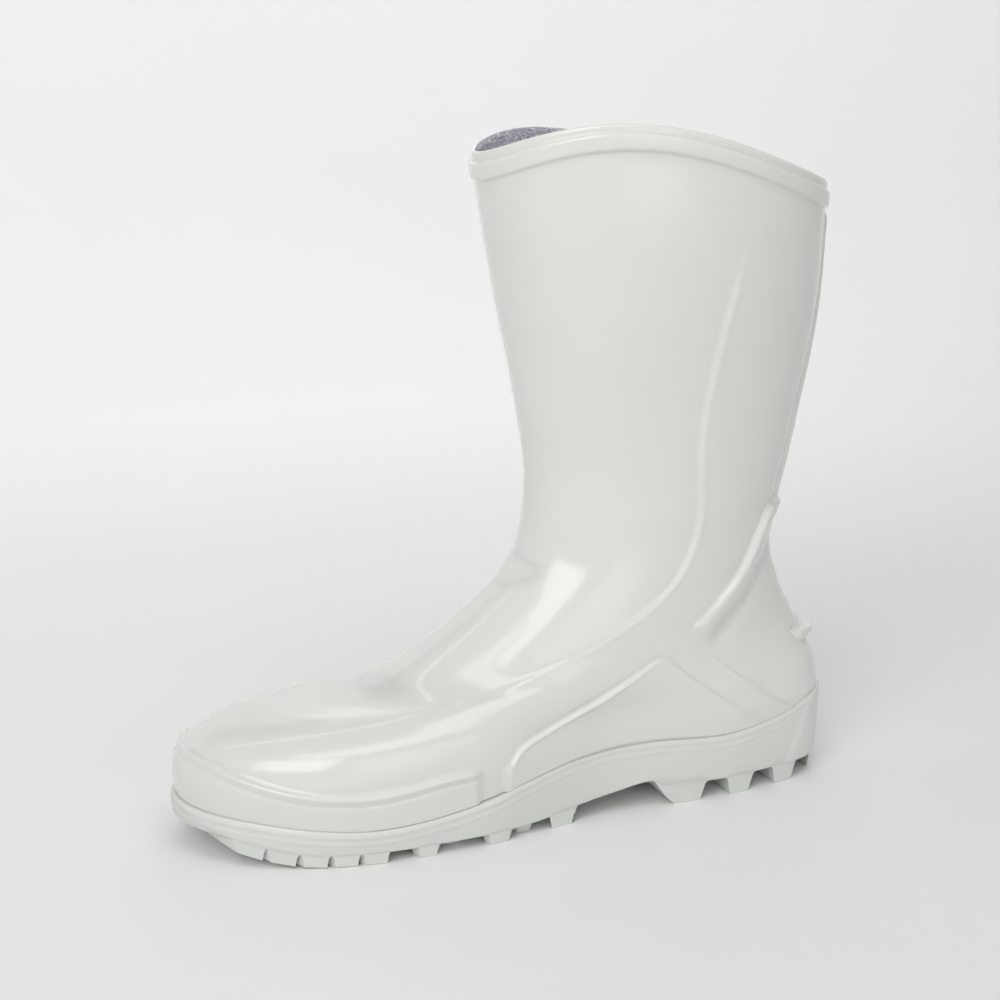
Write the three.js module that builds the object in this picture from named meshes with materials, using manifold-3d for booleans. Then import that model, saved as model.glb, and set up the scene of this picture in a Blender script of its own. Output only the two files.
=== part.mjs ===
// Waterproof work boot, left, moulded in two shots of PVC: upper, outsole and loose insole.
// Millimetres, toe towards +X, wearer's left towards +Y, +Z up. While the pieces are worked out,
// x is measured from the back of the heel; the group at the end puts the origin under the middle.
import * as THREE from "three";
import { mergeVertices } from "three/addons/utils/BufferGeometryUtils.js";
import Module from "manifold-3d";

// The last
const LENGTH = 300; // outsole, back of heel to tip of toe
const BALL_WIDTH = 102; // outsole across the ball
const TOE_SWING = 6; // how far the toe tip lies towards the inner side
const INSTEP_HEIGHT = 106; // where the vamp turns into the shaft
const ANKLE_LENGTH = 120.5; // narrowest place of the shaft, front to back
const ANKLE_WIDTH = 71;
const COLLAR_LENGTH = 162;
const COLLAR_WIDTH = 105;
const COLLAR_CENTRE = 84.5; // middle of the collar, ahead of the back of the heel
const COLLAR_ARCH = 14; // rise of the collar's two sides over a straight cut
const COLLAR_LEAN = 0.8; // how far the top of that rise lies ahead of the middle
const HEIGHT = 292; // top of the collar's sides

// Walls and fits
const WALL = 2.4; // shaft and vamp
const GAP = 0.3; // between two pieces that touch
const INSOLE_THICKNESS = 4;
const INSOLE_FIT = 0.6; // clearance round the loose insole

// Outsole
const HEEL_HEIGHT = 30; // ground to the parting line over the heel
const SOLE_EDGE = 1; // the outsole stands proud of the last by this much all round
const TOE_SPRING = 16;
const LUG_DEPTH = 9; // heel lugs
const STUD_DEPTH = 5; // studs and bars of the forefoot
const LUG_LENGTH = 13;
const LUG_PITCH = 25;
const NOTCH_DRAFT = 1.5; // each notch is narrower at its root by this much a side
const HEEL_BREAST = 97; // front of the heel at its root
const BREAST_SLOPE = 12; // and how far it leans back from there to the ground
const REAR_LUG = 11; // length of the closed lug round the back of the heel
const HEEL_NOTCHES = 3;
const HEEL_CHANNEL = 26; // clear width between the two rows of heel lugs
const HEX_LUG = 8; // radius of the two lugs in the channel
const HEX_FROM = 30;
const HEX_PITCH = 33;
const HEX_COUNT = 2;
const STUD_RADIUS = 6.6;
const STUD_DRAFT = 1; // a six-sided lug is narrower at the ground by this much a side
const STUD_PITCH = 17.5; // across the sole
const STUD_ROW_PITCH = 15.7;
const STUD_FROM = 149; // the hindmost row of studs
const STUD_ROWS = 5;
const STUDS_ACROSS = 6; // in the hindmost row; every other row has one less
const STUD_BOW = 0.0035; // a stud lies back by this times the square of its way off the middle
const BAR_LENGTH = 8;
const BAR_PITCH = 12;
const BAR_BOW = 14; // how far a toe bar's middle runs ahead of its ends
const BAR_FROM = 237;
const BAR_COUNT = 5;

// Steps and ribs of the upper, each by how far it stands out from the last
const QUARTER_STEP = 0.8; // sides and back, behind the soft line that frames the front panel
const CHEVRON_STEP = 2;
const RAND_STEP = 2;
const WING_STEP = 3;
const WING_WIDTH = 4.5;
const COUNTER_STEP = 1.4;
const STRIP_STEP = 2;
const STRIP_WIDTH = 30;
const STRIP_FOOT = 125; // height of the back strip's lower end
const BAND_STEP = 2;
const SPUR_HEIGHT = 64;
const SPUR_THICKNESS = 5.5;
const SPUR_RADIUS = 22;
const SPUR_CENTRE = 23; // ahead of the back of the heel

const ROUND_STEPS = 44; // facets round the outside
const INNER_STEPS = 28;
const LEVEL_STEPS = 2; // facets from one section to the next outside
const LINE_STEPS = 60; // facets of a side line from heel to toe

// Cutters run past what they cut
const SIDE = 100; // half depth of every side-view cutter
const OVERRUN = 10;
const UNDERLAP = 0.5; // how far the tread runs into the plate

// Sections of the foot, from below the parting line up to the instep. Each is a ring through a front
// and a back point: x as shares of LENGTH, z of INSTEP_HEIGHT, half width of half of BALL_WIDTH.
// foot is 1 where the ring has the outline of the foot and 0 where it is an ellipse.
const FOOT = [
  { frontX: 0.97, frontZ: 0.02, backX: 0.025, backZ: 0.1, width: 0.92, foot: 1 },
  { frontX: 0.987, frontZ: 0.226, backX: 0.008, backZ: 0.34, width: 0.97, foot: 1 },
  { frontX: 0.987, frontZ: 0.335, backX: 0.006, backZ: 0.415, width: 0.97, foot: 1 },
  { frontX: 0.974, frontZ: 0.42, backX: 0.009, backZ: 0.5, width: 0.94, foot: 0.85 },
  { frontX: 0.935, frontZ: 0.478, backX: 0.018, backZ: 0.575, width: 0.87, foot: 0.45 },
  { frontX: 0.87, frontZ: 0.506, backX: 0.031, backZ: 0.65, width: 0.81, foot: 0.22 },
  { frontX: 0.785, frontZ: 0.53, backX: 0.047, backZ: 0.726, width: 0.77, foot: 0.1 },
  { frontX: 0.707, frontZ: 0.585, backX: 0.062, backZ: 0.81, width: 0.74, foot: 0.04 },
  { frontX: 0.63, frontZ: 0.705, backX: 0.075, backZ: 0.906, width: 0.72, foot: 0 },
  { frontX: 0.56, frontZ: 0.85, backX: 0.084, backZ: 0.99, width: 0.705, foot: 0 },
];

// Sections of the shaft, from the instep to the collar. middle is a share of COLLAR_CENTRE, length
// and width go from ankle (0) to collar (1), heights from INSTEP_HEIGHT (0) to HEIGHT (1).
const SHAFT = [
  { middle: 1.044, length: 0.125, width: 0, frontZ: 0, backZ: 0.06, arch: 0 },
  { middle: 1.0, length: 0, width: 0, frontZ: 0.097, backZ: 0.13, arch: 0 },
  { middle: 0.965, length: 0.05, width: 0.03, frontZ: 0.21, backZ: 0.215, arch: 0 },
  { middle: 0.95, length: 0.24, width: 0.15, frontZ: 0.333, backZ: 0.344, arch: 0 },
  { middle: 0.953, length: 0.466, width: 0.38, frontZ: 0.478, backZ: 0.468, arch: 0.03 },
  { middle: 0.962, length: 0.69, width: 0.65, frontZ: 0.624, backZ: 0.602, arch: 0.15 },
  { middle: 0.979, length: 0.84, width: 0.85, frontZ: 0.758, backZ: 0.71, arch: 0.45 },
  { middle: 0.996, length: 0.94, width: 0.97, frontZ: 0.882, backZ: 0.812, arch: 1.04 },
  { middle: 1, length: 1, width: 1, frontZ: 0.946, backZ: 0.874, arch: 0.95 },
];

// Outline of the foot as a factor on an ellipse, at shares of the way from toe to heel.
const OUTLINE = [
  { at: 0, outer: 1.4, inner: 1.18 },
  { at: 0.08, outer: 1.32, inner: 1.18 },
  { at: 0.16, outer: 1.26, inner: 1.14 },
  { at: 0.24, outer: 1.17, inner: 1.08 },
  { at: 0.33, outer: 1.06, inner: 1.02 },
  { at: 0.42, outer: 0.97, inner: 0.88 },
  { at: 0.5, outer: 0.85, inner: 0.73 },
  { at: 0.6, outer: 0.76, inner: 0.64 },
  { at: 0.7, outer: 0.82, inner: 0.7 },
  { at: 0.8, outer: 0.94, inner: 0.86 },
  { at: 0.9, outer: 1.11, inner: 1.09 },
  { at: 1, outer: 1.52, inner: 1.52 },
];

// Side lines of the outsole: at is a share of LENGTH from the heel; parting (the seam with the upper)
// and floor (under the insole) are shares of HEEL_HEIGHT.
const SOLE_LINES = [
  { at: 0, parting: 1.36, floor: 0.83 },
  { at: 0.05, parting: 1.3, floor: 0.83 },
  { at: 0.1, parting: 1.15, floor: 0.83 },
  { at: 0.15, parting: 1.05, floor: 0.83 },
  { at: 0.22, parting: 0.98, floor: 0.83 },
  { at: 0.33, parting: 1.04, floor: 0.83 },
  { at: 0.45, parting: 1.0, floor: 0.74 },
  { at: 0.53, parting: 0.85, floor: 0.6 },
  { at: 0.6, parting: 0.68, floor: 0.46 },
  { at: 0.68, parting: 0.55, floor: 0.39 },
  { at: 0.76, parting: 0.5, floor: 0.37 },
  { at: 0.84, parting: 0.56, floor: 0.41 },
  { at: 0.92, parting: 0.66, floor: 0.51 },
  { at: 1, parting: 0.73, floor: 0.59 },
];

// The ground line rises under the toe, by shares of TOE_SPRING.
const SPRING = [
  { at: 0.78, rise: 0 },
  { at: 0.84, rise: 0.03 },
  { at: 0.88, rise: 0.12 },
  { at: 0.92, rise: 0.3 },
  { at: 0.96, rise: 0.56 },
  { at: 1, rise: 1 },
];

// Root of the tread: depth of the lugs at the heel, of the studs in front, and the arch between.
const ROOT = [
  { at: 0, heel: 1, forefoot: 0 },
  { at: 0.3, heel: 1, forefoot: 0 },
  { at: 0.33, heel: 1.4, forefoot: 0 },
  { at: 0.39, heel: 1.1, forefoot: 0 },
  { at: 0.47, heel: 0, forefoot: 1.35 },
  { at: 0.52, heel: 0, forefoot: 1 },
  { at: 1, heel: 0, forefoot: 1 },
];

// Draft of the outsole's side: outset from the last at heights in shares of HEEL_HEIGHT.
const SOLE_SIDE = [
  { up: -0.05, outset: -2.6 },
  { up: 0.15, outset: -1.6 },
  { up: 0.4, outset: -0.3 },
  { up: 0.7, outset: 0.4 },
  { up: 1.7, outset: 1 },
];

// Side view of the steps: x as shares of LENGTH, z as shares of INSTEP_HEIGHT.
const RAND = [
  { x: 0.6, z: 0.33 },
  { x: 0.66, z: 0.32 },
  { x: 0.71, z: 0.3 },
  { x: 0.77, z: 0.287 },
  { x: 0.83, z: 0.3 },
  { x: 0.88, z: 0.325 },
  { x: 0.93, z: 0.365 },
  { x: 0.97, z: 0.405 },
  { x: 1.02, z: 0.425 },
  { x: 1.02, z: 0 },
  { x: 0.61, z: 0 },
];
const CHEVRON = [
  { x: 0.572, z: 0.1 },
  { x: 0.568, z: 0.28 },
  { x: 0.558, z: 0.34 },
  { x: 0.544, z: 0.385 },
  { x: 0.5, z: 0.432 },
  { x: 0.421, z: 0.514 },
  { x: 0.353, z: 0.6 },
  { x: 0.332, z: 0.632 },
  { x: 0.306, z: 0.628 },
  { x: 0.278, z: 0.565 },
  { x: 0.2, z: 0.4 },
  { x: 0.145, z: 0.28 },
  { x: 0.145, z: 0.1 },
];
const COUNTER_TOP = [
  { x: -0.1, z: 0.3 },
  { x: 0.06, z: 0.32 },
  { x: 0.09, z: 0.345 },
  { x: 0.125, z: 0.395 },
  { x: 0.16, z: 0.465 },
  { x: 0.19, z: 0.525 },
  { x: 0.219, z: 0.59 },
  { x: 0.24, z: 0.55 },
  { x: 0.26, z: 0.5 },
  { x: 0.2, z: 0.1 },
  { x: -0.1, z: 0.1 },
];
const WING_RIDGE = [
  { x: 0.06, z: 1.23 },
  { x: 0.115, z: 1.22 },
  { x: 0.145, z: 1.12 },
  { x: 0.163, z: 1.035 },
  { x: 0.185, z: 0.943 },
  { x: 0.216, z: 0.864 },
  { x: 0.243, z: 0.8 },
  { x: 0.272, z: 0.735 },
];
const QUARTER = [
  { x: 0.215, z: 2.33 },
  { x: 0.228, z: 2.17 },
  { x: 0.243, z: 1.97 },
  { x: 0.254, z: 1.76 },
  { x: 0.261, z: 1.56 },
  { x: 0.259, z: 1.35 },
  { x: 0.258, z: 1.22 },
  { x: 0.268, z: 1.1 },
  { x: 0.293, z: 0.97 },
  { x: 0.335, z: 0.865 },
  { x: 0.4, z: 0.765 },
  { x: 0.485, z: 0.665 },
  { x: 0.575, z: 0.585 },
  { x: 0.65, z: 0.53 },
  { x: 0.7, z: 0.46 },
  { x: 0.74, z: 0.28 },
  { x: 0.76, z: 0.1 },
  { x: -0.1, z: 0.1 },
  { x: -0.1, z: 2.8 },
  { x: 0.2, z: 2.8 },
];

const wasm = await Module();
wasm.setup();

// A column of a table at a place between its rows, as a smooth curve through them.
function follow(rows, column, at) {
  const last = rows.length - 1;
  const after = rows.findIndex((row) => row.at > at);
  const i = after < 0 ? last - 1 : Math.max(after - 1, 0);
  const slope = (j) => {
    const a = rows[Math.max(j - 1, 0)];
    const b = rows[Math.min(j + 1, last)];
    return (b[column] - a[column]) / (b.at - a.at);
  };
  const span = rows[i + 1].at - rows[i].at;
  const s = THREE.MathUtils.clamp((at - rows[i].at) / span, 0, 1);
  const start = rows[i][column];
  const rise = rows[i + 1][column] - start;
  const bend = slope(i) * span;
  const exit = slope(i + 1) * span;
  return start + bend * s + (3 * rise - 2 * bend - exit) * s ** 2 + (bend + exit - 2 * rise) * s ** 3;
}

const mix = THREE.MathUtils.lerp;

// Both tables of sections in millimetres, one row for each level.
const SECTIONS = [
  ...FOOT.map((row) => ({
    frontX: row.frontX * LENGTH,
    frontZ: row.frontZ * INSTEP_HEIGHT,
    backX: row.backX * LENGTH,
    backZ: row.backZ * INSTEP_HEIGHT,
    width: (row.width * BALL_WIDTH) / 2,
    foot: row.foot,
    arch: 0,
  })),
  ...SHAFT.map((row) => {
    const middle = row.middle * COLLAR_CENTRE;
    const half = mix(ANKLE_LENGTH, COLLAR_LENGTH, row.length) / 2;
    return {
      frontX: middle + half,
      frontZ: mix(INSTEP_HEIGHT, HEIGHT, row.frontZ),
      backX: middle - half,
      backZ: mix(INSTEP_HEIGHT, HEIGHT, row.backZ),
      width: mix(ANKLE_WIDTH, COLLAR_WIDTH, row.width) / 2,
      foot: 0,
      arch: row.arch * COLLAR_ARCH,
    };
  }),
].map((row, level) => ({ at: level, ...row }));
const COLLAR = SECTIONS.length - 1;
const BAND_FROM = COLLAR - 1;
const BAND_TO = COLLAR - 0.4;
const STRIP_TO = COLLAR - 0.8; // the back strip ends under the band

// How far the middle of the foot lies to the left at x: the toe swings to the inner side.
function swing(x) {
  return -TOE_SWING * Math.max(0, (2 * x) / LENGTH - 1) ** 2;
}

// Half width of the foot's outline, as a factor on half the ball width.
function outline(angle) {
  const at = (1 - Math.cos(angle)) / 2;
  return follow(OUTLINE, Math.sin(angle) < 0 ? "inner" : "outer", at);
}

// A point on the last: level counts the sections, angle goes from the front over the left side.
function lastPoint(level, angle) {
  const row = (column) => follow(SECTIONS, column, level);
  const share = (1 - Math.cos(angle)) / 2;
  const x = mix(row("frontX"), row("backX"), share);
  const rise = row("arch") * Math.sin(angle) ** 2 * (1 + COLLAR_LEAN * Math.cos(angle));
  const z = mix(row("frontZ"), row("backZ"), share) + rise;
  const y = row("width") * Math.sin(angle) * mix(1, outline(angle), row("foot"));
  return new THREE.Vector3(x, y + swing(x), z);
}

// The same point moved outwards, square to the surface, by offset.
function skinPoint(level, angle, offset) {
  const d = 0.02;
  const up = lastPoint(Math.min(level + d, COLLAR), angle).sub(lastPoint(Math.max(level - d, 0), angle));
  const round = lastPoint(level, angle + d).sub(lastPoint(level, angle - d));
  return lastPoint(level, angle).addScaledVector(round.cross(up).normalize(), offset);
}

// A manifold-3d solid from a three.js geometry that is closed.
function solid(geometry) {
  const bare = geometry.index ? geometry.clone() : geometry;
  bare.deleteAttribute("normal");
  bare.deleteAttribute("uv");
  const merged = mergeVertices(bare, 1e-4);
  return new wasm.Manifold(
    new wasm.Mesh({
      numProp: 3,
      vertProperties: new Float32Array(merged.attributes.position.array),
      triVerts: new Uint32Array(merged.index.array),
    }),
  );
}

// A closed solid through a stack of rings with as many points each, closed by a fan at both ends.
function stack(rings) {
  const count = rings[0].length;
  const points = rings.flat();
  const faces = [];
  for (let r = 0; r < rings.length - 1; r++) {
    for (let i = 0; i < count; i++) {
      const a = r * count + i;
      const b = r * count + ((i + 1) % count);
      faces.push(a, b, b + count, a, b + count, a + count);
    }
  }
  for (const [ring, first] of [[rings[0], 0], [rings.at(-1), points.length - count]]) {
    const centre = new THREE.Vector3();
    ring.forEach((point) => centre.addScaledVector(point, 1 / count));
    const tip = points.push(centre) - 1;
    for (let i = 0; i < count; i++) {
      const edge = [first + i, first + ((i + 1) % count)];
      faces.push(tip, ...(first ? edge : edge.reverse()));
    }
  }
  const geometry = new THREE.BufferGeometry().setFromPoints(points);
  geometry.setIndex(faces);
  return solid(geometry);
}

// The last, grown by offset, between two levels; reach lengthens its top by that height.
function form(offset, { from = 0, to = COLLAR, steps = ROUND_STEPS, rows = LEVEL_STEPS, reach = 0 } = {}) {
  const rings = [];
  const count = Math.ceil((to - from) * rows);
  for (let r = 0; r <= count; r++) {
    const level = mix(from, to, r / count);
    rings.push(Array.from({ length: steps }, (_, i) => skinPoint(level, (i * 2 * Math.PI) / steps, offset)));
  }
  if (reach) rings.push(rings.at(-1).map((point) => point.clone().setZ(point.z + reach)));
  return stack(rings);
}

// A slab across the boot with the given side view, a list of [x, z].
function slab(points, half = SIDE) {
  const shape = new THREE.Shape(points.map(([x, z]) => new THREE.Vector2(x, z)));
  const geometry = new THREE.ExtrudeGeometry(shape, { depth: 2 * half, bevelEnabled: false });
  return solid(geometry.rotateX(Math.PI / 2).translate(0, half, 0));
}

// The side view of a plain block.
function oblong(back, front, low, high) {
  return [[back, low], [front, low], [front, high], [back, high]];
}

// Points of a side view table in millimetres.
function sideView(rows) {
  return rows.map((row) => [row.x * LENGTH, row.z * INSTEP_HEIGHT]);
}

// The space between two lines that run from behind the heel to before the toe.
function between(low, high) {
  const at = (i) => mix(-OVERRUN, LENGTH + OVERRUN, i / LINE_STEPS);
  const xs = Array.from({ length: LINE_STEPS + 1 }, (_, i) => at(i));
  return slab([...xs.map((x) => [x, low(x)]), ...xs.reverse().map((x) => [x, high(x)])]);
}

const inLength = (x) => THREE.MathUtils.clamp(x / LENGTH, 0, 1);
const parting = (x) => follow(SOLE_LINES, "parting", inLength(x)) * HEEL_HEIGHT;
const floor = (x) => follow(SOLE_LINES, "floor", inLength(x)) * HEEL_HEIGHT;
const ground = (x) => (inLength(x) < SPRING[0].at ? 0 : follow(SPRING, "rise", inLength(x)) * TOE_SPRING);
const lowest = () => -OVERRUN;
const highest = () => HEIGHT + COLLAR_ARCH + OVERRUN;

// Underside of the plate, from which lugs, studs and bars stand down.
function root(x) {
  const at = inLength(x);
  return ground(x) + follow(ROOT, "heel", at) * LUG_DEPTH + follow(ROOT, "forefoot", at) * STUD_DEPTH;
}

// Upper: the steps stand on the last, then the foot's room is taken out and the sole's side cut off.
function makeUpper() {
  const steps = [
    [QUARTER_STEP, sideView(QUARTER)],
    [RAND_STEP, sideView(RAND)],
    [CHEVRON_STEP, sideView(CHEVRON)],
    [COUNTER_STEP, sideView(COUNTER_TOP)],
    [WING_STEP, ribbon(WING_RIDGE, WING_WIDTH)],
  ];
  let outside = form(0);
  for (const [step, view] of steps) {
    outside = outside.add(form(step).intersect(slab(view)));
  }
  const strip = slab(oblong(-OVERRUN, COLLAR_CENTRE, STRIP_FOOT, HEIGHT), STRIP_WIDTH / 2);
  outside = outside.add(form(STRIP_STEP, { to: STRIP_TO }).intersect(strip));
  outside = outside.add(form(BAND_STEP, { from: BAND_FROM, to: BAND_TO }));
  const disc = new THREE.CylinderGeometry(SPUR_RADIUS, SPUR_RADIUS, SPUR_THICKNESS, ROUND_STEPS);
  outside = outside.add(solid(disc.rotateX(Math.PI / 2).translate(SPUR_CENTRE, 0, SPUR_HEIGHT)));
  const inside = form(-WALL, { steps: INNER_STEPS, rows: 1, reach: COLLAR_ARCH + OVERRUN });
  return outside.subtract(inside).subtract(between(lowest, (x) => parting(x) + GAP / 2));
}

// A side view band of even width under a smooth line through the rows.
function ribbon(rows, width) {
  const curve = new THREE.SplineCurve(sideView(rows).map(([x, z]) => new THREE.Vector2(x, z)));
  const line = curve.getPoints(3 * rows.length);
  const under = line.map((point, i) => {
    const along = curve.getTangent(i / (line.length - 1));
    return new THREE.Vector2(point.x + along.y * width, point.y - along.x * width);
  });
  return [...line, ...under.reverse()].map((point) => [point.x, point.y]);
}

// A ring of the outsole's side at a height, grown from the last's outline by outset.
function soleRing(z, outset) {
  const half = BALL_WIDTH / 2 + outset;
  return Array.from({ length: ROUND_STEPS }, (_, i) => {
    const angle = (i * 2 * Math.PI) / ROUND_STEPS;
    const x = mix(LENGTH - SOLE_EDGE + outset, SOLE_EDGE - outset, (1 - Math.cos(angle)) / 2);
    return new THREE.Vector3(x, half * Math.sin(angle) * outline(angle) + swing(x), z);
  });
}

// A six-sided lug that stands on the ground and narrows towards it.
function hexagon(radius, x, y) {
  const shape = new THREE.CylinderGeometry(radius, radius - STUD_DRAFT, HEEL_HEIGHT / 2, 6);
  return solid(shape.rotateX(Math.PI / 2).translate(x, y, HEEL_HEIGHT / 4 - UNDERLAP));
}

// Heel tread: lugs left and right, a closed rear, and two lugs in the channel.
function heelTread() {
  const top = HEEL_HEIGHT / 2;
  const lean = HEEL_BREAST - BREAST_SLOPE;
  let tread = slab([[-OVERRUN, -UNDERLAP], [lean, -UNDERLAP], [HEEL_BREAST, top], [-OVERRUN, top]]);
  for (let i = 0; i < HEEL_NOTCHES; i++) {
    const from = REAR_LUG + i * LUG_PITCH;
    const to = from + LUG_PITCH - LUG_LENGTH;
    const wide = [[from - NOTCH_DRAFT, -OVERRUN], [to + NOTCH_DRAFT, -OVERRUN]];
    const narrow = [[to, LUG_DEPTH], [to, top + 1], [from, top + 1], [from, LUG_DEPTH]];
    tread = tread.subtract(slab([...wide, ...narrow]));
  }
  const channel = slab(oblong(REAR_LUG, HEEL_BREAST + OVERRUN, -OVERRUN, top + OVERRUN), HEEL_CHANNEL / 2);
  tread = tread.subtract(channel);
  for (let i = 0; i < HEX_COUNT; i++) tread = tread.add(hexagon(HEX_LUG, HEX_FROM + i * HEX_PITCH, 0));
  return tread;
}

// Forefoot tread: staggered rows of six-sided studs, then bowed bars under the toe.
function frontTread() {
  const studs = [];
  for (let row = 0; row < STUD_ROWS; row++) {
    const count = STUDS_ACROSS - (row % 2);
    for (let i = 0; i < count; i++) {
      const y = (i - (count - 1) / 2) * STUD_PITCH;
      studs.push(hexagon(STUD_RADIUS, STUD_FROM + row * STUD_ROW_PITCH - STUD_BOW * y * y, y));
    }
  }
  const bars = Array.from({ length: BAR_COUNT }, (_, i) => toeBar(BAR_FROM + i * BAR_PITCH));
  return [...studs, ...bars].reduce((tread, lug) => tread.add(lug));
}

// A bar across the toe, bowed forwards in plan.
function toeBar(x) {
  const line = [-1, -0.5, 0, 0.5, 1].map((y) => [x - BAR_BOW * y * y, (y * BALL_WIDTH) / 2]);
  const points = [...line, ...line.map(([px, py]) => [px + BAR_LENGTH, py]).reverse()];
  const shape = new THREE.Shape(points.map(([px, py]) => new THREE.Vector2(px, py)));
  return solid(new THREE.ExtrudeGeometry(shape, { depth: HEEL_HEIGHT, bevelEnabled: false }));
}

// Outsole: plate and tread within its drafted side, with the foot's room sunk into it.
function makeOutsole() {
  const side = stack(SOLE_SIDE.map((row) => soleRing(row.up * HEEL_HEIGHT, row.outset)));
  const plate = between(root, (x) => parting(x) - GAP / 2);
  const tread = between(ground, (x) => root(x) + UNDERLAP).intersect(heelTread().add(frontTread()));
  const room = form(-WALL, { steps: INNER_STEPS, rows: 1 }).intersect(between(floor, highest));
  return side.intersect(plate.add(tread)).subtract(room);
}

// Insole: a loose footbed that fills the floor of the boot.
function makeInsole() {
  const low = (x) => floor(x) + GAP;
  const room = form(-WALL - INSOLE_FIT, { steps: INNER_STEPS, rows: 1 });
  return room.intersect(between(low, (x) => low(x) + INSOLE_THICKNESS));
}

// A named mesh from a solid.
function piece(name, made, material) {
  const { vertProperties, triVerts } = made.getMesh();
  const geometry = new THREE.BufferGeometry();
  geometry.setAttribute("position", new THREE.BufferAttribute(new Float32Array(vertProperties), 3));
  geometry.setIndex(new THREE.BufferAttribute(new Uint32Array(triVerts), 1));
  geometry.computeVertexNormals();
  const mesh = new THREE.Mesh(geometry, material);
  mesh.name = name;
  return mesh;
}

const whitePvc = new THREE.MeshStandardMaterial({ color: 0xe4e7e0, roughness: 0.28 });
const solePvc = new THREE.MeshStandardMaterial({ color: 0xdfe2da, roughness: 0.4 });
const footbedFoam = new THREE.MeshStandardMaterial({ color: 0x9aa0a8, roughness: 0.9 });

const group = new THREE.Group();
group.add(piece("upper", makeUpper(), whitePvc));
group.add(piece("outsole", makeOutsole(), solePvc));
group.add(piece("insole", makeInsole(), footbedFoam));

// Origin under the middle of the boot's box.
const box = new THREE.Box3().setFromObject(group);
const middle = box.getCenter(new THREE.Vector3());
group.position.set(-middle.x, -middle.y, -box.min.z);

export default group;
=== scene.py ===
import bmesh
import bpy
import numpy as np
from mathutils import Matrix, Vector


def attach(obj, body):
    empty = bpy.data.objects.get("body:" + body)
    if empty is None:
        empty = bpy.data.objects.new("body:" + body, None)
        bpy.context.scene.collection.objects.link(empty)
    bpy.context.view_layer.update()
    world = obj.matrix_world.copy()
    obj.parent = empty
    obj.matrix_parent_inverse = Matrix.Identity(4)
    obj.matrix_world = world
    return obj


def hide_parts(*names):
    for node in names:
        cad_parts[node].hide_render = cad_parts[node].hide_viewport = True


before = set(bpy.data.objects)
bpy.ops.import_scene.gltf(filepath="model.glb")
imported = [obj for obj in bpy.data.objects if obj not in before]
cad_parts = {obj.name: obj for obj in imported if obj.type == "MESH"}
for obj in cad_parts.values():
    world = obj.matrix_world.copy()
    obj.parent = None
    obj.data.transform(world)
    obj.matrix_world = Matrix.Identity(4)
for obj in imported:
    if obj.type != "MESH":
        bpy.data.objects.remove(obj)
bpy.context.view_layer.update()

# Upper: one shell of glossy white PVC, injection moulded over a last and open at the collar.
# Toe rand, side chevron, counter wings, back strip, collar band and kick-off spur are moulded in it.
# Sizes are in millimetres, with x from the back of the heel to the toe and y to the wearer's left.
LENGTH = 300
BALL_WIDTH = 102
TOE_SWING = 6
INSTEP_HEIGHT = 106
ANKLE_LENGTH = 120.5
ANKLE_WIDTH = 71
COLLAR_LENGTH = 162
COLLAR_WIDTH = 105
COLLAR_CENTRE = 84.5
COLLAR_ARCH = 14
COLLAR_LEAN = 0.8
HEIGHT = 292
HEEL_HEIGHT = 30
WALL = 2.4
GAP = 0.3
MIDDLE = 149.81  # from the back of the heel to the middle of the boot's box

# Rings of the foot: front x, front z, back x, back z, half width and how far the ring has the outline
# of the foot; x as shares of LENGTH, z of INSTEP_HEIGHT, width of BALL_WIDTH / 2.
FOOT = np.array([
    (0.97, 0.02, 0.025, 0.1, 0.92, 1),
    (0.987, 0.226, 0.008, 0.34, 0.97, 1),
    (0.987, 0.335, 0.006, 0.415, 0.97, 1),
    (0.974, 0.42, 0.009, 0.5, 0.94, 0.85),
    (0.935, 0.478, 0.018, 0.575, 0.87, 0.45),
    (0.87, 0.506, 0.031, 0.65, 0.81, 0.22),
    (0.785, 0.53, 0.047, 0.726, 0.77, 0.1),
    (0.707, 0.585, 0.062, 0.81, 0.74, 0.04),
    (0.63, 0.705, 0.075, 0.906, 0.72, 0),
    (0.56, 0.85, 0.084, 0.99, 0.705, 0),
])

# Rings of the shaft: middle as a share of COLLAR_CENTRE, length and width from ankle (0) to collar
# (1), front and back heights from INSTEP_HEIGHT (0) to HEIGHT (1), arch as a share of COLLAR_ARCH.
SHAFT = np.array([
    (1.044, 0.125, 0, 0, 0.06, 0),
    (1, 0, 0, 0.097, 0.13, 0),
    (0.965, 0.05, 0.03, 0.21, 0.215, 0),
    (0.95, 0.24, 0.15, 0.333, 0.344, 0),
    (0.953, 0.466, 0.38, 0.478, 0.468, 0.03),
    (0.962, 0.69, 0.65, 0.624, 0.602, 0.15),
    (0.979, 0.84, 0.85, 0.758, 0.71, 0.45),
    (0.996, 0.94, 0.97, 0.882, 0.812, 1.04),
    (1, 1, 1, 0.946, 0.874, 0.95),
])

# Half outline of the foot as a factor on an ellipse: share of the way from toe to heel, outer, inner.
OUTLINE = np.array([
    (0, 1.4, 1.18), (0.08, 1.32, 1.18), (0.16, 1.26, 1.14), (0.24, 1.17, 1.08),
    (0.33, 1.06, 1.02), (0.42, 0.97, 0.88), (0.5, 0.85, 0.73), (0.6, 0.76, 0.64),
    (0.7, 0.82, 0.7), (0.8, 0.94, 0.86), (0.9, 1.11, 1.09), (1, 1.52, 1.52),
])

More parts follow.
